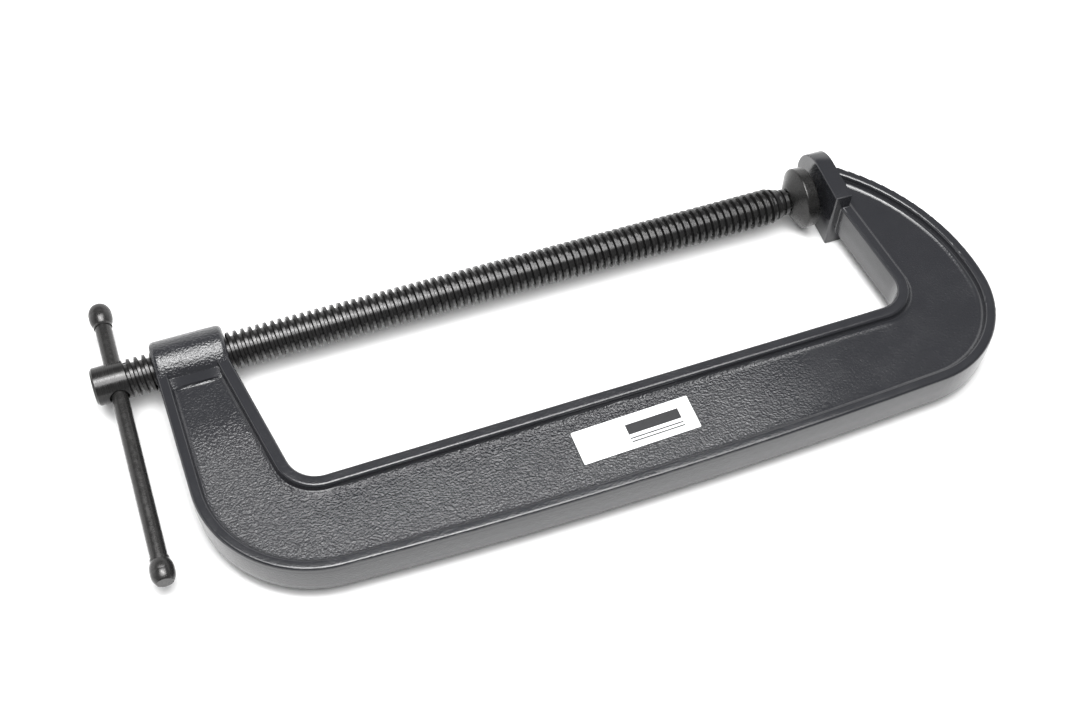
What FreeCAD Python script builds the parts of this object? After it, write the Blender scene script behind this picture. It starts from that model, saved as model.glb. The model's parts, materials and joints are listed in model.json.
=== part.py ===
import FreeCAD, Part
import math
import os
import Sketcher

# A 300 mm C-clamp. Origin: centre of the fixed anvil's clamping face, on the screw's axis.
# +X runs from the jaw opening into the anvil, the spine lies towards -Y, +Z is up off the bench.

os.makedirs("parts", exist_ok=True)
doc = FreeCAD.newDocument("CClamp")
Vector = FreeCAD.Vector
ORIGIN = Vector(0, 0, 0)
X_AXIS = Vector(1, 0, 0)

DIMENSIONS = [
    # casting outline, seen from above
    ("flange_width", 22.0),
    ("spine_bow_radius", 3060.0),
    ("spine_low_x", -186.0),
    ("spine_low_y", -145.3),
    ("left_corner_x", -309.0),
    ("left_corner_radius", 62.6),
    ("right_corner_x", 6.6),
    ("right_corner_radius", 52.2),
    ("right_leg_radius", 121.5),
    ("left_leg_top_x", -373.6),
    ("throat_left_x", -306.6),
    ("throat_left_y", -75.6),
    ("throat_left_radius", 16.4),
    ("throat_right_x", -2.4),
    ("throat_right_y", -74.4),
    ("throat_right_radius", 13.8),
    ("left_leg_inner_x", -335.2),
    ("left_leg_inner_y", -14.2),
    ("right_leg_inner_x", 4.9),
    ("right_leg_inner_y", -24.0),
    # recess on each side of the web
    ("recess_depth", 4.9),
    ("outer_flange", 5.6),
    ("inner_flange", 6.4),
    ("recess_root_radius", 3.2),
    ("flange_edge_radius", 1.5),
    # boss and anvil
    ("boss_start_x", -373.7),
    ("boss_length", 38.2),
    ("boss_radius", 15.0),
    ("boss_edge_radius", 3.0),
    ("fairing_reach", 19.5),
    ("fairing_shelf", 8.2),
    ("bore_radius", 10.1),
    ("anvil_thickness", 9.2),
    ("anvil_half_height", 20.0),
    ("anvil_near_y", -21.2),
    ("anvil_arc_y", 3.2),
    ("anvil_edge_radius", 0.8),
    # screw
    ("screw_tilt", 2.0),
    ("head_start_x", -405.5),
    ("thread_start_x", -388.0),
    ("thread_end_x", -29.0),
    ("thread_radius", 10.0),
    ("thread_pitch", 4.0),
    ("thread_depth", 2.25),
    ("groove_root_half", 0.66),
    ("shoulder_x", -20.4),
    ("shoulder_radius", 7.2),
    ("neck_radius", 4.5),
    ("ball_x", -12.4),
    ("ball_radius", 6.4),
    ("cross_hole_x", -393.9),
    ("cross_hole_radius", 5.2),
    # swivel pad and the rings around the screw's neck
    ("pad_back_x", -17.2),
    ("pad_back_radius", 8.4),
    ("pad_rim_x", -11.2),
    ("pad_rim_radius", 17.0),
    ("pad_face_x", -4.6),
    ("socket_radius", 6.5),
    ("ring_x", -15.9),
    ("ring_radius", 6.3),
    ("ring_wire_radius", 0.75),
    ("washer_radius", 7.3),
    ("washer_bore_radius", 4.6),
    ("washer_start_x", -20.2),
    ("washer_thickness", 1.9),
    # sliding handle
    ("bar_radius", 4.3),
    ("bar_near_end", 111.0),
    ("bar_far_end", 41.0),
    ("spigot_radius", 3.0),
    ("spigot_reach", 3.5),
    ("knob_radius", 6.1),
    ("knob_inner_end", 6.9),
    ("knob_outer_end", 6.2),
    # label
    ("label_length", 63.6),
    ("label_width", 19.3),
    ("label_thickness", 0.25),
    ("label_corner_radius", 0.6),
    ("label_x", -151.7),
    ("label_y", -114.8),
    ("label_angle", 2.1),
]

sheet = doc.addObject("Spreadsheet::Sheet", "Dimensions")
for row, (alias, value) in enumerate(DIMENSIONS, 1):
    sheet.set(f"A{row}", alias)
    sheet.set(f"B{row}", str(value))
    sheet.setAlias(f"B{row}", alias)
doc.recompute()
size = dict(DIMENSIONS)


def polar(radius, angle):
    return Vector(radius * math.cos(angle), radius * math.sin(angle), 0)


def angle_of(vector):
    return math.atan2(vector.y, vector.x)


def new_body(label):
    body = doc.addObject("PartDesign::Body", label.title().replace("_", ""))
    body.Label = label
    return body


def new_sketch(body, name, role, offset=None):
    """A sketch on one of the body's origin planes, moved off it by a bound offset."""
    sketch = body.newObject("Sketcher::SketchObject", name)
    plane = next(item for item in body.Origin.OriginFeatures if item.Role == role)
    sketch.AttachmentSupport = [(plane, "")]
    sketch.MapMode = "FlatFace"
    if offset:
        sketch.setExpression("AttachmentOffset.Base.z", offset)
    return sketch


def draw(sketch, points):
    """Closed profile; a pair (end, through) draws an arc through a middle point."""
    ends = [p[0] if isinstance(p, tuple) else p for p in points]
    for index, item in enumerate(points):
        start = ends[index - 1]
        if isinstance(item, tuple):
            sketch.addGeometry(Part.Arc(start, item[1], item[0]))
        else:
            sketch.addGeometry(Part.LineSegment(start, item))
    count = len(points)
    for index in range(count):
        sketch.addConstraint(Sketcher.Constraint(
            "Coincident", index, end_of(points[index], ends[index - 1]),
            (index + 1) % count, start_of(points[(index + 1) % count], ends[index])))


def counter_clockwise(start, through, end):
    return (through - start).cross(end - through).z > 0


def end_of(item, start):
    if isinstance(item, tuple) and not counter_clockwise(start, item[1], item[0]):
        return 1
    return 2


def start_of(item, start):
    return 3 - end_of(item, start)


def circle(sketch, radius_cell, centre=ORIGIN):
    index = sketch.addGeometry(Part.Circle(centre, Vector(0, 0, 1), size[radius_cell]))
    rule = sketch.addConstraint(Sketcher.Constraint("Radius", index, size[radius_cell]))
    sketch.setExpression(f"Constraints[{rule}]", f"Dimensions.{radius_cell}")


def pad(body, name, sketch, length, midplane=False):
    feature = body.newObject("PartDesign::Pad", name)
    feature.Profile = sketch
    feature.setExpression("Length", length)
    feature.Midplane = midplane
    body.Tip = feature
    doc.recompute()
    return feature


def pocket(body, name, sketch, length, reverse=False):
    feature = body.newObject("PartDesign::Pocket", name)
    feature.Profile = sketch
    feature.setExpression("Length", length)
    feature.Reversed = reverse
    body.Tip = feature
    doc.recompute()
    return feature


def revolve(body, name, sketch, kind="Revolution"):
    """Turn a half profile about the sketch's horizontal axis."""
    feature = body.newObject(f"PartDesign::{kind}", name)
    feature.Profile = sketch
    feature.ReferenceAxis = (sketch, ["H_Axis"])
    feature.Angle = 360
    body.Tip = feature
    doc.recompute()
    return feature


def fillet(body, name, radius, chosen):
    """Round the edges of the body's tip that `chosen` accepts."""
    base = body.Tip
    names = [f"Edge{i}" for i, edge in enumerate(base.Shape.Edges, 1) if chosen(edge)]
    feature = body.newObject("PartDesign::Fillet", name)
    feature.Base = (base, names)
    feature.setExpression("Radius", radius)
    body.Tip = feature
    doc.recompute()
    return feature


def flat_at(edge, height):
    box = edge.BoundBox
    return abs(box.ZMin - height) < 0.01 and abs(box.ZMax - height) < 0.01


# ---------------------------------------------------------------- frame casting
half_width = size["flange_width"] / 2
bow_centre = Vector(size["spine_low_x"], size["spine_low_y"] + size["spine_bow_radius"], 0)


def corner_centre(x, radius):
    """Centre of a corner arc that runs smoothly into the bowed back of the spine."""
    reach = size["spine_bow_radius"] - radius
    return Vector(x, bow_centre.y - math.sqrt(reach ** 2 - (x - bow_centre.x) ** 2), 0)


left_corner = corner_centre(size["left_corner_x"], size["left_corner_radius"])
right_corner = corner_centre(size["right_corner_x"], size["right_corner_radius"])
right_leg = right_corner + Vector(size["right_corner_radius"] - size["right_leg_radius"], 0, 0)
throat_left = Vector(size["throat_left_x"], size["throat_left_y"], 0)
throat_right = Vector(size["throat_right_x"], size["throat_right_y"], 0)


def touch_angle(point, centre, radius, side):
    """Direction, from the centre, of the point where a line from `point` touches a circle."""
    away = point - centre
    return angle_of(away) + side * math.acos(radius / away.Length)


leg_outer_angle = touch_angle(Vector(size["left_leg_top_x"], 0, 0), left_corner,
                              size["left_corner_radius"], 1)
leg_inner_angle = touch_angle(Vector(size["left_leg_inner_x"], size["left_leg_inner_y"], 0),
                              throat_left, size["throat_left_radius"], 1)
right_inner_angle = touch_angle(Vector(size["right_leg_inner_x"], size["right_leg_inner_y"], 0),
                                throat_right, size["throat_right_radius"], -1)
throat_span = throat_right - throat_left
throat_angle = angle_of(throat_span) - math.acos(
    (size["throat_left_radius"] - size["throat_right_radius"]) / throat_span.Length)


def along_leg(centre, radius, angle, height):
    """Point at y = height on the line touching a circle at `angle`."""
    touch = centre + polar(radius, angle)
    run = (height - touch.y) / math.cos(angle)
    return touch + Vector(-math.sin(angle) * run, math.cos(angle) * run, 0)


def frame_profile(outer_inset, inner_inset, left_top, right_x, right_inner_y):
    """C-shaped band between the outer and inner outlines, each moved into the metal."""
    bow = size["spine_bow_radius"] - outer_inset
    left = size["left_corner_radius"] - outer_inset
    right = size["right_corner_radius"] - outer_inset
    leg = size["right_leg_radius"] - outer_inset
    inner_left = size["throat_left_radius"] + inner_inset
    inner_right = size["throat_right_radius"] + inner_inset
    left_join = angle_of(left_corner - bow_centre)
    right_join = angle_of(right_corner - bow_centre)
    leg_end = math.acos((right_x - right_leg.x) / leg)
    return [
        along_leg(left_corner, left, leg_outer_angle, left_top),
        left_corner + polar(left, leg_outer_angle),
        (left_corner + polar(left, left_join),
         left_corner + polar(left, (leg_outer_angle % (2 * math.pi) + left_join % (2 * math.pi)) / 2)),
        (right_corner + polar(right, right_join),
         bow_centre + polar(bow, (left_join + right_join) / 2)),
        (right_corner + polar(right, 0), right_corner + polar(right, right_join / 2)),
        (right_leg + polar(leg, leg_end), right_leg + polar(leg, leg_end / 2)),
        along_leg(throat_right, inner_right, right_inner_angle, right_inner_y),
        throat_right + polar(inner_right, right_inner_angle),
        (throat_right + polar(inner_right, throat_angle),
         throat_right + polar(inner_right, (right_inner_angle + throat_angle) / 2)),
        throat_left + polar(inner_left, throat_angle),
        (throat_left + polar(inner_left, leg_inner_angle),
         throat_left + polar(inner_left, (throat_angle % (2 * math.pi)
                                          + leg_inner_angle % (2 * math.pi)) / 2)),
        along_leg(throat_left, inner_left, leg_inner_angle, left_top),
    ]


frame = new_body("frame")
outline = new_sketch(frame, "Outline", "XY_Plane")
draw(outline, frame_profile(0, 0, 0, size["anvil_thickness"] / 2, 0))
pad(frame, "Casting", outline, "Dimensions.flange_width", midplane=True)

recess_profile = frame_profile(size["outer_flange"], size["inner_flange"],
                               -size["boss_radius"] / 2, size["anvil_thickness"] - 1,
                               size["anvil_near_y"])
for side, name in ((1, "RecessTop"), (-1, "RecessUnder")):
    sketch = new_sketch(frame, f"{name}Outline", "XY_Plane", f"{side} * Dimensions.flange_width / 2")
    draw(sketch, recess_profile)
    pocket(frame, name, sketch, "Dimensions.recess_depth", reverse=side < 0)

floor = half_width - size["recess_depth"]
fillet(frame, "RecessRoots", "Dimensions.recess_root_radius",
       lambda edge: flat_at(edge, floor) or flat_at(edge, -floor))


def on_flange_top(edge):
    """Edges of the flanges' flat tops, but for the short ones inside the boss and the anvil."""
    at_top = flat_at(edge, half_width) or flat_at(edge, -half_width)
    return at_top and edge.BoundBox.YMin < size["anvil_near_y"] - 1


fillet(frame, "FlangeEdges", "Dimensions.flange_edge_radius", on_flange_top)


def turned(body, name, profile, kind="Revolution"):
    """Revolve a half profile, given as (x, radius) points, about the X axis."""
    sketch = new_sketch(body, f"{name}Profile", "XY_Plane")
    draw(sketch, profile)
    return revolve(body, name, sketch, kind)


def point(x, radius):
    return Vector(x, radius, 0)


def quarter(centre, radius, start, end):
    """Arc item for `draw`: from the angle `start` to `end`, in degrees, about a centre."""
    middle = math.radians((start + end) / 2)
    return (centre + polar(radius, math.radians(end)), centre + polar(radius, middle))


boss_start = size["boss_start_x"]
boss_end = boss_start + size["boss_length"]
boss_radius = size["boss_radius"]
edge = size["boss_edge_radius"]
turned(frame, "Boss", [
    point(boss_start, 0),
    point(boss_start, boss_radius - edge),
    quarter(point(boss_start + edge, boss_radius - edge), edge, 180, 90),
    point(boss_end - edge, boss_radius),
    quarter(point(boss_end - edge, boss_radius - edge), edge, 90, 0),
    point(boss_end, 0),
])

# A low shelf on each side carries the boss down to the web of the leg and ends in a sloping lip.
web_level = floor + 0.2
reach = size["fairing_reach"]
shelf = size["fairing_shelf"]
shelf_start = Vector(-math.sqrt(boss_radius ** 2 - shelf ** 2), shelf, 0)
lip = Vector(-reach + 1.1, shelf - 1, 0)
foot = Vector(-reach, web_level, 0)
fairing = new_sketch(frame, "FairingOutline", "YZ_Plane", "Dimensions.boss_start_x + 1.4")
draw(fairing, [
    shelf_start,
    lip,
    foot,
    Vector(foot.x, -foot.y, 0),
    Vector(lip.x, -lip.y, 0),
    Vector(shelf_start.x, -shelf_start.y, 0),
])
pad(frame, "Fairing", fairing, "Dimensions.boss_length - 2.8")

anvil_outline = new_sketch(frame, "AnvilOutline", "YZ_Plane")
half_height = size["anvil_half_height"]
draw(anvil_outline, [
    Vector(size["anvil_near_y"], half_height, 0),
    Vector(size["anvil_near_y"], -half_height, 0),
    Vector(size["anvil_arc_y"], -half_height, 0),
    (Vector(size["anvil_arc_y"], half_height, 0), Vector(size["anvil_arc_y"] + half_height, 0, 0)),
])
pad(frame, "Anvil", anvil_outline, "Dimensions.anvil_thickness")
thickness = size["anvil_thickness"]


def on_anvil_rim(edge):
    """Edges of the anvil block that no part of the leg meets."""
    box = edge.BoundBox
    in_block = box.XMin > -0.01 and box.XMax < thickness + 0.01
    at_near_end = box.YMax < size["anvil_near_y"] + 0.01 and box.ZMax - box.ZMin < 0.01
    return in_block and (box.XMax < 0.01 or at_near_end)


fillet(frame, "AnvilEdges", "Dimensions.anvil_edge_radius", on_anvil_rim)

bore = new_sketch(frame, "BoreCircle", "YZ_Plane", "Dimensions.boss_start_x")
circle(bore, "bore_radius")
pocket(frame, "Bore", bore, "Dimensions.boss_length", reverse=True)

# ---------------------------------------------------------------- screw (spindle)
spindle = new_body("spindle")
spindle.Placement = FreeCAD.Placement(ORIGIN, FreeCAD.Rotation(X_AXIS, size["screw_tilt"]))
spindle.setExpression("Placement.Rotation.Angle", "Dimensions.screw_tilt * 1deg")
head = size["head_start_x"]
major = size["thread_radius"]
root = major - size["thread_depth"]
chamfer = 1.2
shoulder = size["shoulder_x"]
neck = size["neck_radius"]
ball = size["ball_radius"]
ball_centre = point(size["ball_x"], 0)
neck_meets_ball = 180 - math.degrees(math.asin(neck / ball))
turned(spindle, "Turning", [
    point(head, 0),
    point(head, major - chamfer),
    point(head + chamfer, major),
    point(size["thread_end_x"], major),
    point(shoulder - 2.2, size["shoulder_radius"] + 0.7),
    point(shoulder - 0.6, size["shoulder_radius"]),
    point(shoulder, size["shoulder_radius"] - 0.6),
    point(shoulder, neck),
    ball_centre + polar(ball, math.radians(neck_meets_ball)),
    quarter(ball_centre, ball, neck_meets_ball, 0),
])

groove = new_sketch(spindle, "GrooveProfile", "XY_Plane")
outside = major + 0.6
root_half = size["groove_root_half"]
flank = math.tan(math.radians(15)) * (outside - root)
first = size["thread_start_x"]
draw(groove, [
    point(first - root_half, root),
    point(first + root_half, root),
    point(first + root_half + flank, outside),
    point(first - root_half - flank, outside),
])
helix = spindle.newObject("PartDesign::SubtractiveHelix", "Thread")
helix.Profile = groove
helix.ReferenceAxis = (groove, ["H_Axis"])
helix.Mode = 0
helix.setExpression("Pitch", "Dimensions.thread_pitch")
helix.setExpression("Height", "Dimensions.shoulder_x - Dimensions.thread_start_x - 1.5")
spindle.Tip = helix
doc.recompute()

hole = new_sketch(spindle, "CrossHoleCircle", "XZ_Plane")
circle(hole, "cross_hole_radius", Vector(size["cross_hole_x"], 0, 0))
drill = spindle.newObject("PartDesign::Pocket", "CrossHole")
drill.Profile = hole
drill.Type = 1
drill.Midplane = True
spindle.Tip = drill
doc.recompute()

# ---------------------------------------------------------------- neck washer
washer = new_body("neck_washer")
washer_ring = new_sketch(washer, "WasherRing", "YZ_Plane", "Dimensions.washer_start_x")
circle(washer_ring, "washer_radius")
circle(washer_ring, "washer_bore_radius")
pad(washer, "Washer", washer_ring, "Dimensions.washer_thickness")

# ---------------------------------------------------------------- swivel pad
swivel_pad = new_body("swivel_pad")
back = size["pad_back_x"]
rim = size["pad_rim_x"]
face = size["pad_face_x"]
rim_radius = size["pad_rim_radius"]
softening = 0.7
turned(swivel_pad, "PadTurning", [
    point(back, 0),
    point(back, size["pad_back_radius"] - softening),
    point(back + softening / 2, size["pad_back_radius"]),
    point(rim - softening, rim_radius - softening),
    (point(rim + softening, rim_radius), point(rim - softening * 0.2, rim_radius - softening * 0.2)),
    point(face - softening, rim_radius - 0.4),
    point(face, rim_radius - 0.4 - softening),
    point(face, 0),
])
socket = size["socket_radius"]
ring_x = size["ring_x"]
ring_radius = size["ring_radius"]
wire = size["ring_wire_radius"]
seat = wire + 0.05
seat_reach = math.sqrt(seat ** 2 - (socket - ring_radius) ** 2)
turned(swivel_pad, "Socket", [
    point(back - 1, 0),
    point(back - 1, socket),
    point(ring_x - seat_reach, socket),
    (point(ring_x + seat_reach, socket), point(ring_x, ring_radius + seat)),
    point(size["ball_x"], socket),
    quarter(point(size["ball_x"], 0), socket, 90, 0),
], "Groove")

# ---------------------------------------------------------------- snap ring in the pad's mouth
snap_ring = new_body("pad_snap_ring")
ring_sketch = new_sketch(snap_ring, "WireSection", "XY_Plane")
circle(ring_sketch, "ring_wire_radius", point(ring_x, ring_radius))
ring_turn = snap_ring.newObject("PartDesign::Revolution", "Wire")
ring_turn.Profile = ring_sketch
ring_turn.ReferenceAxis = (ring_sketch, ["H_Axis"])
ring_turn.Angle = 330
snap_ring.Tip = ring_turn
doc.recompute()

# ---------------------------------------------------------------- sliding handle
# The bar and its knobs are turned about their own X axis and laid along the cross hole.
handle_turn = FreeCAD.Rotation(X_AXIS, size["screw_tilt"]) * FreeCAD.Rotation(Vector(0, 0, 1), -90)
handle_place = FreeCAD.Placement(point(size["cross_hole_x"], 0), handle_turn)


def place_on_bar(body):
    body.Placement = handle_place
    body.setExpression("Placement.Base.x", "Dimensions.cross_hole_x * 1mm")


spigot = size["spigot_radius"]
rod = size["bar_radius"]
near = size["bar_near_end"]
far = -size["bar_far_end"]
reach = size["spigot_reach"]
knob_inner = size["knob_inner_end"]
handle_bar = new_body("handle_bar")
turned(handle_bar, "Rod", [
    point(far - reach, 0),
    point(far - reach, spigot),
    point(far + knob_inner, spigot),
    point(far + knob_inner, rod),
    point(near - knob_inner, rod),
    point(near - knob_inner, spigot),
    point(near + reach, spigot),
    point(near + reach, 0),
])
place_on_bar(handle_bar)


def knob(label, centre, direction):
    """Ball-shaped end with a flat nose, pressed on the spigot; `direction` points outwards."""
    body = new_body(label)
    radius = size["knob_radius"]
    collar = rod + 0.5

    def at(distance, height):
        return point(centre + direction * distance, height)

    inner = -knob_inner
    outer = size["knob_outer_end"]
    nose = radius * 0.7
    turned(body, "KnobTurning", [
        at(inner, 0),
        at(inner, collar),
        at(inner + 1.4, collar),
        (at(0.6, radius), at(inner / 2 + 0.2, radius * 0.945)),
        (at(outer - 0.8, nose + 0.6), at(outer * 0.62, radius * 0.925)),
        at(outer, nose),
        at(outer, 0),
    ])
    fit = 0.02
    turned(body, "SpigotBore", [
        at(inner - 1, 0),
        at(inner - 1, spigot + fit),
        at(reach + fit, spigot + fit),
        at(reach + fit, 0),
    ], "Groove")
    place_on_bar(body)
    return body


knob_near = knob("handle_knob_near", near, 1)
knob_far = knob("handle_knob_far", far, -1)

# ---------------------------------------------------------------- label on the web
label = new_body("label")
plate = new_sketch(label, "LabelOutline", "XY_Plane")
half_x = size["label_length"] / 2
half_y = size["label_width"] / 2
corner = size["label_corner_radius"]
rounded = []
for sign_x, sign_y, start in ((1, -1, -90), (1, 1, 0), (-1, 1, 90), (-1, -1, 180)):
    centre = Vector(sign_x * (half_x - corner), sign_y * (half_y - corner), 0)
    rounded.append(centre + polar(corner, math.radians(start)))
    rounded.append(quarter(centre, corner, start, start + 90))
draw(plate, rounded)
pad(label, "Plate", plate, "Dimensions.label_thickness")
label.Placement = FreeCAD.Placement(
    Vector(size["label_x"], size["label_y"], floor),
    FreeCAD.Rotation(Vector(0, 0, 1), size["label_angle"]))
for axis in "xy":
    label.setExpression(f"Placement.Base.{axis}", f"Dimensions.label_{axis} * 1mm")

# ---------------------------------------------------------------- check and export
doc.recompute()
for item in doc.Objects:
    faults = [state for state in item.State if state in ("Invalid", "Error")]
    if faults:
        raise RuntimeError(f"{item.Label}: {faults}")

for body in (frame, spindle, washer, swivel_pad, snap_ring, handle_bar, knob_near, knob_far, label):
    shape = body.Shape
    if shape.isNull() or not shape.isValid() or len(shape.Solids) != 1:
        raise RuntimeError(f"{body.Label} is not one valid solid")
    shape.exportStep(f"parts/{body.Label}.step")
    print(body.Label, round(shape.Volume), len(shape.Faces))
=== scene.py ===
import json
import math

import bmesh
import bpy
import numpy as np
from mathutils import Matrix, Vector, noise


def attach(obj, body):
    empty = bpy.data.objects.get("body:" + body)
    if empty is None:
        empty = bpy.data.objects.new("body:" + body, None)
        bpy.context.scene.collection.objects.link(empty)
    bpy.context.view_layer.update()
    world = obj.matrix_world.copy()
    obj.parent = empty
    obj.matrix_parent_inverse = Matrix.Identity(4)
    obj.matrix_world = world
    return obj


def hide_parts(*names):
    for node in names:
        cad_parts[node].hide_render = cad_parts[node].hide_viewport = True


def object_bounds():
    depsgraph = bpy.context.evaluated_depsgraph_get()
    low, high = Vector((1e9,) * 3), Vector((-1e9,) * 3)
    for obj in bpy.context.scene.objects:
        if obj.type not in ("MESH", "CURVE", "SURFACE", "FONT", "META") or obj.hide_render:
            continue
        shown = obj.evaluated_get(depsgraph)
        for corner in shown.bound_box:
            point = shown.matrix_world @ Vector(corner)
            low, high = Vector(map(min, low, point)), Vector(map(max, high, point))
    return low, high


# A 300 mm C-clamp lying on its side. Metres, in the CAD frame: the origin is the centre of the
# anvil's clamping face, +X runs along the screw into the anvil, the spine is towards -Y, +Z is up.

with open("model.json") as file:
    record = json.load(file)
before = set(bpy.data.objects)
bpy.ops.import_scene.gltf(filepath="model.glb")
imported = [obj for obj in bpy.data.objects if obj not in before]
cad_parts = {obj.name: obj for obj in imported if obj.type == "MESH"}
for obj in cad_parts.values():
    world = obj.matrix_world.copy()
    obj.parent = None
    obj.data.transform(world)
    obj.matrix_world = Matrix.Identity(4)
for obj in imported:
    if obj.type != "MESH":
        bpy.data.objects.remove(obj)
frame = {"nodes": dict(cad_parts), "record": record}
CAD_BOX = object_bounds()
MM = 0.001

# the casting: half heights of its levels, and where the sand print fades out
WEB_HALF = 6.1 * MM
SHELF_HALF = 8.2 * MM
RIM_HALF = 11.0 * MM
BOSS_END = -0.3355
BOSS_LOW = -0.0128
SMOOTH_ANVIL_END = (-0.13, -0.04)
SMOOTH_SCREW_LEG = (-0.075, -0.035)
BOSS_GRAIN = 0.4
FLANGE_GRAIN = 0.12

# the casting's skin
LONGEST_EDGE = 9.0 * MM
WELD_DISTANCE = 0.002 * MM
DRAFT = 0.4 * MM
WAVE_HEIGHT = 0.05 * MM
WAVES_PER_METRE = 45
SHARP_ANGLE = math.radians(35)

# the label and its print, seen from the label's centre
LABEL_CENTRE = (-0.1517, -0.1148, 0.0)
LABEL_TURN = math.radians(2.1)
PRINT_MIDDLE = 10.0 * MM
PRINT_HALF_WIDTH = 14.5 * MM
BLOCK_Y = 1.5 * MM
BLOCK_HALF_HEIGHT = 3.0 * MM
RULE_ROWS = (-3.8 * MM, -5.8 * MM)
RULE_HALF_HEIGHT = 0.4 * MM

# the studio
FLOOR_SIZE = 6.0
LIGHTS_AIM = (-0.18, -0.06, 0.0)
LIGHTS = (
    # name, place, size, power in watts
    ("front_overhead", (-0.20, -0.54, 1.5), (1.4, 0.8), 30),
    ("middle_strip", (-0.30, -0.20, 1.5), (0.8, 0.2), 9),
    ("rear_overhead", (-0.20, 0.14, 1.5), (1.4, 0.5), 18),
)
CAMERA_AT = Vector((-0.3440, -0.4830, 0.7095))
LOOK_AT = Vector((-0.1826, -0.0562, 0.0))
CAMERA_ROLL = math.radians(1.97)
CAMERA_LENS = 53.88
SENSOR_WIDTH = 36.0


# ---------------------------------------------------------------- materials
class Graph:
    """Short-hand for building one material's nodes."""

    def __init__(self, name):
        self.material = bpy.data.materials.new(name)
        self.material.use_nodes = True
        self.tree = self.material.node_tree
        self.shader = self.tree.nodes["Principled BSDF"]
        coordinates = self.node("ShaderNodeTexCoord")
        self.place = coordinates.outputs["Object"]
        self.facing = coordinates.outputs["Normal"]

    def node(self, kind, **settings):
        made = self.tree.nodes.new(kind)
        for key, value in settings.items():
            setattr(made, key, value)
        return made

    def link(self, output, target):
        self.tree.links.new(output, target)

    def feed(self, value, target):
        """Set a socket to a plain value, or link an output to it."""
        if isinstance(value, (int, float, tuple)):
            target.default_value = value
        else:
            self.link(value, target)

    def noise(self, scale, detail=2.0, roughness=0.5, where=None):
        made = self.node("ShaderNodeTexNoise")
        made.inputs["Scale"].default_value = scale
        made.inputs["Detail"].default_value = detail
        made.inputs["Roughness"].default_value = roughness
        self.link(where or self.place, made.inputs["Vector"])
        return made.outputs["Fac"]

    def stretch(self, factors):
        """The object's own coordinates, scaled along each axis."""
        made = self.node("ShaderNodeMapping")
        made.inputs["Scale"].default_value = factors
        self.link(self.place, made.inputs["Vector"])
        return made.outputs["Vector"]

    def math(self, operation, first, second=0.0, third=0.0):
        made = self.node("ShaderNodeMath", operation=operation)
        for value, target in zip((first, second, third), made.inputs):
            self.feed(value, target)
        return made.outputs[0]

    def times(self, first, second):
        return self.math("MULTIPLY", first, second)

    def span(self, value, low, high, to_low=0.0, to_high=1.0):
        """Ease from to_low to to_high while the value goes from low to high."""
        made = self.node("ShaderNodeMapRange", interpolation_type="SMOOTHSTEP")
        self.link(value, made.inputs["Value"])
        made.inputs["From Min"].default_value = low
        made.inputs["From Max"].default_value = high
        self.feed(to_low, made.inputs["To Min"])
        self.feed(to_high, made.inputs["To Max"])
        return made.outputs["Result"]

    def mix(self, factor, first, second):
        """Blend two colours."""
        made = self.node("ShaderNodeMix", data_type="RGBA")
        self.feed(factor, made.inputs[0])
        for value, target in ((first, made.inputs[6]), (second, made.inputs[7])):
            self.feed((*value, 1.0) if isinstance(value, tuple) else value, target)
        return made.outputs[2]

    def axis(self, index, where=None):
        """One coordinate: 0 is X, 1 is Y, 2 is Z."""
        made = self.node("ShaderNodeSeparateXYZ")
        self.link(where or self.place, made.inputs[0])
        return made.outputs[index]

    def seen_from(self, centre, turn):
        """Coordinates about a centre, turned about Z."""
        made = self.node("ShaderNodeMapping", vector_type="TEXTURE")
        made.inputs["Location"].default_value = centre
        made.inputs["Rotation"].default_value = (0.0, 0.0, turn)
        self.link(self.place, made.inputs["Vector"])
        return made.outputs["Vector"]

    def bar(self, where, centre, half_size):
        """1 inside a rectangle of the given coordinates, 0 outside."""
        across = self.math("COMPARE", self.axis(0, where), centre[0], half_size[0])
        along = self.math("COMPARE", self.axis(1, where), centre[1], half_size[1])
        return self.times(across, along)

    def bump(self, height, distance, strength=1.0, under=None):
        """Relief of a height, laid over another relief if one is given."""
        made = self.node("ShaderNodeBump")
        self.link(height, made.inputs["Height"])
        made.inputs["Distance"].default_value = distance
        made.inputs["Strength"].default_value = strength
        if under is not None:
            self.link(under, made.inputs["Normal"])
        return made.outputs["Normal"]

    def surface(self, **sockets):
        """Set the shader's sockets and hand back the material."""
        for name, value in sockets.items():
            target = self.shader.inputs[name.replace("_", " ")]
            if isinstance(value, tuple) and len(value) == 3:
                value = (*value, 1.0)
            self.feed(value, target)
        return self.material


def sandiness(g):
    """How strongly the sand printed: 1 on the web, less on the boss, little elsewhere."""
    height = g.math("ABSOLUTE", g.axis(2))
    low_enough = g.span(height, WEB_HALF + 0.5 * MM, WEB_HALF + 2.2 * MM, 1.0, FLANGE_GRAIN)
    level = g.span(g.math("ABSOLUTE", g.axis(2, g.facing)), 0.5, 0.8, FLANGE_GRAIN, 1.0)
    away_from_screw = g.span(g.axis(1), *SMOOTH_SCREW_LEG, 1.0, 0.25)
    on_web = g.times(g.times(low_enough, level), away_from_screw)
    along_boss = g.math("LESS_THAN", g.axis(0), BOSS_END)
    above_shelf = g.math("GREATER_THAN", g.axis(1), BOSS_LOW)
    on_boss = g.times(g.times(along_boss, above_shelf), BOSS_GRAIN)
    before_anvil = g.span(g.axis(0), *SMOOTH_ANVIL_END, 1.0, 0.10)
    return g.times(before_anvil, g.math("MAXIMUM", on_web, on_boss))


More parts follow.
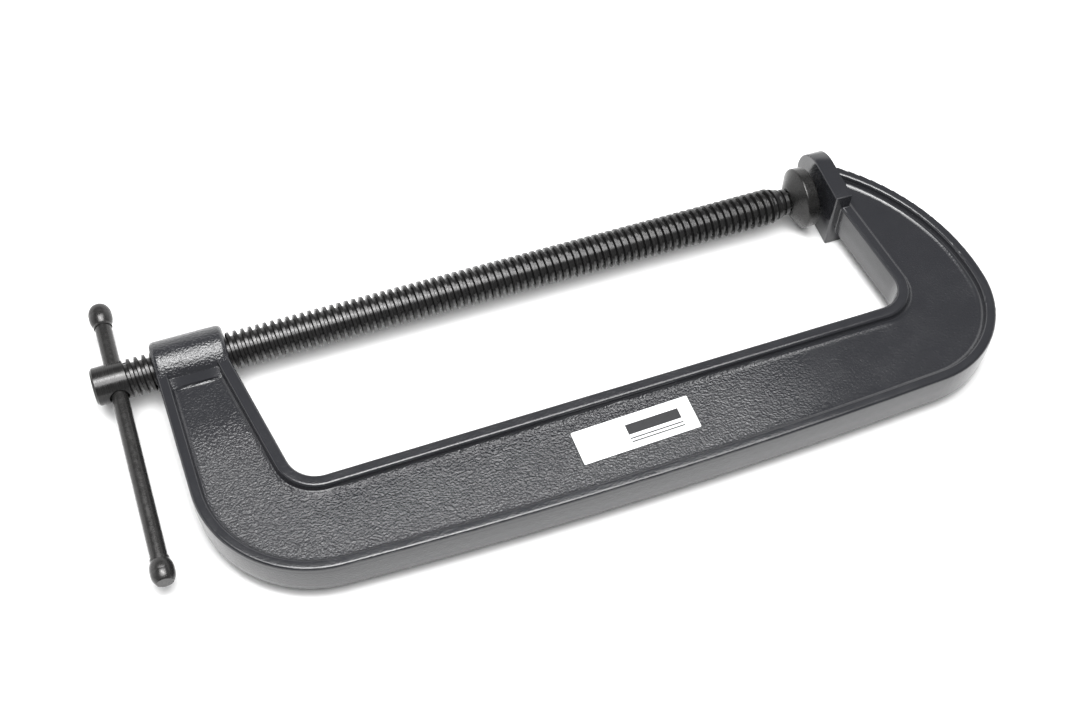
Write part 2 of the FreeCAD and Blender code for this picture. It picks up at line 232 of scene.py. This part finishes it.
def cast_enamel():
    """Charcoal enamel over a sand casting: pebbly on the web, smooth near the anvil."""
    g = Graph("cast_enamel")
    sandy = sandiness(g)
    ripples = g.bump(g.noise(60, 1.0), 0.4 * MM, 0.1)
    lumps = g.bump(g.times(g.noise(520, 0.0), sandy), 0.18 * MM, 1.0, ripples)
    pebbles = g.bump(g.times(g.noise(930), sandy), 0.85 * MM, 1.0, lumps)
    shine = g.span(g.noise(70, 3.0, 0.6), 0.3, 0.7, 0.15, 0.21)
    return g.surface(Base_Color=(0.0185, 0.0190, 0.0218), Roughness=shine, Metallic=0.0, IOR=1.58,
                     Normal=pebbles)


def black_steel():
    """Oiled black-oxide steel with fine turning marks around the X axis."""
    g = Graph("black_steel")
    turning = g.noise(1.0, 2.0, 0.6, g.stretch((2600, 40, 40)))
    tone = g.mix(g.noise(160, 3.0, 0.6), (0.026, 0.026, 0.027), (0.050, 0.049, 0.048))
    shine = g.span(turning, 0.3, 0.7, 0.18, 0.30)
    return g.surface(Base_Color=tone, Roughness=shine, Metallic=0.7,
                     Normal=g.bump(turning, 0.05 * MM, 0.5))


def satin_steel(name, brightness):
    """Dark satin steel of the handle and, darker, of the pad."""
    g = Graph(name)
    dark = tuple(brightness * part for part in (0.042, 0.041, 0.041))
    light = tuple(brightness * part for part in (0.070, 0.069, 0.068))
    tone = g.mix(g.noise(90, 4.0, 0.6), dark, light)
    shine = g.span(g.noise(420, 3.0, 0.6), 0.3, 0.7, 0.22, 0.34)
    return g.surface(Base_Color=tone, Roughness=shine, Metallic=0.75,
                     Normal=g.bump(g.noise(1500, 2.0, 0.6), 0.06 * MM, 0.5))


def label_film():
    """White gloss film with a plain printed block and two rules on it."""
    g = Graph("label_film")
    where = g.seen_from(LABEL_CENTRE, LABEL_TURN)
    printed = g.bar(where, (PRINT_MIDDLE, BLOCK_Y), (PRINT_HALF_WIDTH, BLOCK_HALF_HEIGHT))
    for row in RULE_ROWS:
        rule = g.bar(where, (PRINT_MIDDLE, row), (PRINT_HALF_WIDTH, RULE_HALF_HEIGHT))
        printed = g.math("MAXIMUM", printed, rule)
    paper = g.mix(g.noise(40), (0.88, 0.89, 0.89), (0.94, 0.95, 0.95))
    tone = g.mix(printed, paper, (0.020, 0.020, 0.022))
    return g.surface(Base_Color=tone, Roughness=0.28, Coat_Weight=0.4, Coat_Roughness=0.1,
                     Normal=g.bump(g.noise(300), 0.02 * MM, 0.4))


def floor_white():
    """Matt white paper of the studio floor."""
    g = Graph("floor_white")
    tone = g.mix(g.noise(3), (0.79, 0.79, 0.79), (0.81, 0.81, 0.81))
    return g.surface(Base_Color=tone, Roughness=0.7)


def paint(obj, material):
    """Give every material slot of an object the same material."""
    if not obj.material_slots:
        obj.data.materials.append(material)
    for place in obj.material_slots:
        place.material = material


FINISH = {
    "frame_paint": cast_enamel(),
    "black_steel": black_steel(),
    "grey_steel": satin_steel("grey_steel", 1.0),
    "label_film": label_film(),
}

for part in frame["record"]["subparts"]:
    paint(frame["nodes"][part["node"]], FINISH[part["material_slot"]])
paint(frame["nodes"]["swivel_pad"], satin_steel("pad_steel", 0.65))


# ---------------------------------------------------------------- the frame's cast skin
def welded(node):
    """Corner points and triangles of a CAD node, with doubled points joined."""
    shape = bmesh.new()
    shape.from_mesh(frame["nodes"][node].data)
    bmesh.ops.remove_doubles(shape, verts=shape.verts, dist=WELD_DISTANCE)
    bmesh.ops.triangulate(shape, faces=shape.faces)
    points = np.array([corner.co for corner in shape.verts])
    faces = np.array([[corner.index for corner in face.verts] for face in shape.faces])
    shape.free()
    return points, faces


def edges_of(faces):
    """Every edge once, and for each triangle the numbers of its three edges."""
    ends = np.stack([faces, np.roll(faces, -1, axis=1)], axis=2)
    sides = np.sort(ends.reshape(-1, 2), axis=1)
    edges, which = np.unique(sides, axis=0, return_inverse=True)
    return edges, which.reshape(-1, 3)


def lengths(points, start, end):
    return np.linalg.norm(points[start] - points[end], axis=1)


def split_faces(points, faces, middles):
    """Triangles rebuilt around the middle points of their split edges; -1 marks a whole edge."""
    counts = (middles >= 0).sum(axis=1)
    kept = [faces[counts == 0]]
    for turn in range(3):
        a, b, c = (faces[:, (turn + k) % 3] for k in range(3))
        ab, bc, ca = (middles[:, (turn + k) % 3] for k in range(3))
        one = (counts == 1) & (ab >= 0)
        two = (counts == 2) & (ab < 0)
        first_way = lengths(points, a, bc) <= lengths(points, b, ca)
        for trio, chosen in (
            ((a, ab, c), one),
            ((ab, b, c), one),
            ((c, ca, bc), two),
            ((a, b, bc), two & first_way),
            ((a, bc, ca), two & first_way),
            ((a, b, ca), two & ~first_way),
            ((b, bc, ca), two & ~first_way),
        ):
            kept.append(np.stack(trio, axis=1)[chosen])
    a, b, c = faces[counts == 3].T
    ab, bc, ca = middles[counts == 3].T
    for trio in ((a, ab, ca), (ab, b, bc), (ca, bc, c), (ab, bc, ca)):
        kept.append(np.stack(trio, axis=1))
    return np.vstack(kept)


def refined(points, faces, longest):
    """The same surface with every edge halved until none is over the longest length."""
    while True:
        edges, which = edges_of(faces)
        too_long = lengths(points, edges[:, 0], edges[:, 1]) > longest
        if not too_long.any():
            return points, faces
        middle_of = np.full(len(edges), -1)
        middle_of[too_long] = len(points) + np.arange(too_long.sum())
        points = np.vstack([points, points[edges[too_long]].mean(axis=1)])
        faces = split_faces(points, faces, middle_of[which])


def level_shelf(points, normals):
    """The narrow shelf between the boss and the web runs level in the casting."""
    height = np.abs(points[:, 2])
    beside_boss = (points[:, 0] < BOSS_END) & (points[:, 1] < BOSS_LOW)
    nearly_level = (np.abs(normals[:, 2]) > 0.9) & (np.abs(height - SHELF_HALF) < 1.2 * MM)
    shelf = beside_boss & nearly_level
    points[shelf, 2] = np.sign(points[shelf, 2]) * SHELF_HALF


def casting_rise(points, normals):
    """How far the casting stands out from the true shape: slow waves, and draft on the walls."""
    waves = np.array([noise.noise(Vector(point) * WAVES_PER_METRE) for point in points])
    upright = np.abs(normals[:, 2]) < 0.5
    draft = DRAFT * np.clip(1.0 - np.abs(points[:, 2]) / RIM_HALF, 0.0, 1.0)
    return WAVE_HEIGHT * waves + upright * draft


def cast_skin():
    """The frame as a sand casting."""
    points, faces = refined(*welded("frame"), LONGEST_EDGE)
    mesh = bpy.data.meshes.new("frame_casting")
    mesh.from_pydata(points.tolist(), [], faces.tolist())
    mesh.update()
    normals = np.empty(len(points) * 3)
    mesh.vertices.foreach_get("normal", normals)
    normals = normals.reshape(-1, 3)
    level_shelf(points, normals)
    points = points + normals * casting_rise(points, normals)[:, None]
    mesh.vertices.foreach_set("co", points.ravel())
    mesh.shade_smooth()
    mesh.set_sharp_from_angle(angle=SHARP_ANGLE)
    piece = bpy.data.objects.new("frame_casting", mesh)
    bpy.context.collection.objects.link(piece)
    paint(piece, FINISH["frame_paint"])
    return piece


casting = cast_skin()
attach(casting, "casting")
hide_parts("frame")


# ---------------------------------------------------------------- floor, light and camera
def studio_floor():
    """The paper under the clamp, at the lowest point of the part."""
    lowest = CAD_BOX[0][2]
    bpy.ops.mesh.primitive_plane_add(size=FLOOR_SIZE, location=(0, 0, lowest))
    floor = bpy.context.object
    floor.name = "floor"
    paint(floor, floor_white())


def fade(tree, value, start, end, first, last):
    """Ease from first to last while the value goes from start to end."""
    made = tree.nodes.new("ShaderNodeMapRange")
    made.interpolation_type = "SMOOTHSTEP"
    made.inputs["From Min"].default_value = start
    made.inputs["From Max"].default_value = end
    made.inputs["To Min"].default_value = first
    made.inputs["To Max"].default_value = last
    tree.links.new(value, made.inputs["Value"])
    return made.outputs["Result"]


def studio_walls():
    """A pale backdrop behind and beside the clamp, dark above it and towards the camera."""
    world = bpy.data.worlds.new("studio")
    bpy.context.scene.world = world
    world.use_nodes = True
    tree = world.node_tree
    sky = tree.nodes["Background"]
    sky.inputs["Color"].default_value = (1.0, 1.0, 1.0, 1.0)
    direction = tree.nodes.new("ShaderNodeTexCoord").outputs["Generated"]
    split = tree.nodes.new("ShaderNodeSeparateXYZ")
    tree.links.new(direction, split.inputs[0])
    brightness = tree.nodes.new("ShaderNodeMath")
    brightness.operation = "MULTIPLY"
    low = fade(tree, split.outputs[2], 0.35, 0.65, 1.0, 0.10)
    behind = fade(tree, split.outputs[1], -0.5, 0.6, 0.25, 1.5)
    tree.links.new(low, brightness.inputs[0])
    tree.links.new(behind, brightness.inputs[1])
    tree.links.new(brightness.outputs[0], sky.inputs["Strength"])


def soft_light(name, place, size, power):
    """A rectangular softbox that faces the clamp."""
    data = bpy.data.lights.new(name, "AREA")
    data.shape = "RECTANGLE"
    data.size, data.size_y = size
    data.energy = power
    lamp = bpy.data.objects.new(name, data)
    bpy.context.collection.objects.link(lamp)
    lamp.location = place
    aim = Vector(LIGHTS_AIM) - Vector(place)
    lamp.rotation_euler = aim.to_track_quat("-Z", "Y").to_euler()


def main_camera():
    """The camera, rolled a little about its line of sight."""
    data = bpy.data.cameras.new("camera")
    data.sensor_width = SENSOR_WIDTH
    data.lens = CAMERA_LENS
    camera = bpy.data.objects.new("camera", data)
    bpy.context.collection.objects.link(camera)
    aim = (LOOK_AT - CAMERA_AT).to_track_quat("-Z", "Y").to_matrix()
    turned = aim @ Matrix.Rotation(CAMERA_ROLL, 3, "Z")
    camera.matrix_world = Matrix.Translation(CAMERA_AT) @ turned.to_4x4()
    bpy.context.scene.camera = camera
    bpy.context.scene.view_settings.view_transform = "Standard"


studio_floor()
studio_walls()
for name, place, size, power in LIGHTS:
    soft_light(name, place, size, power)
main_camera()
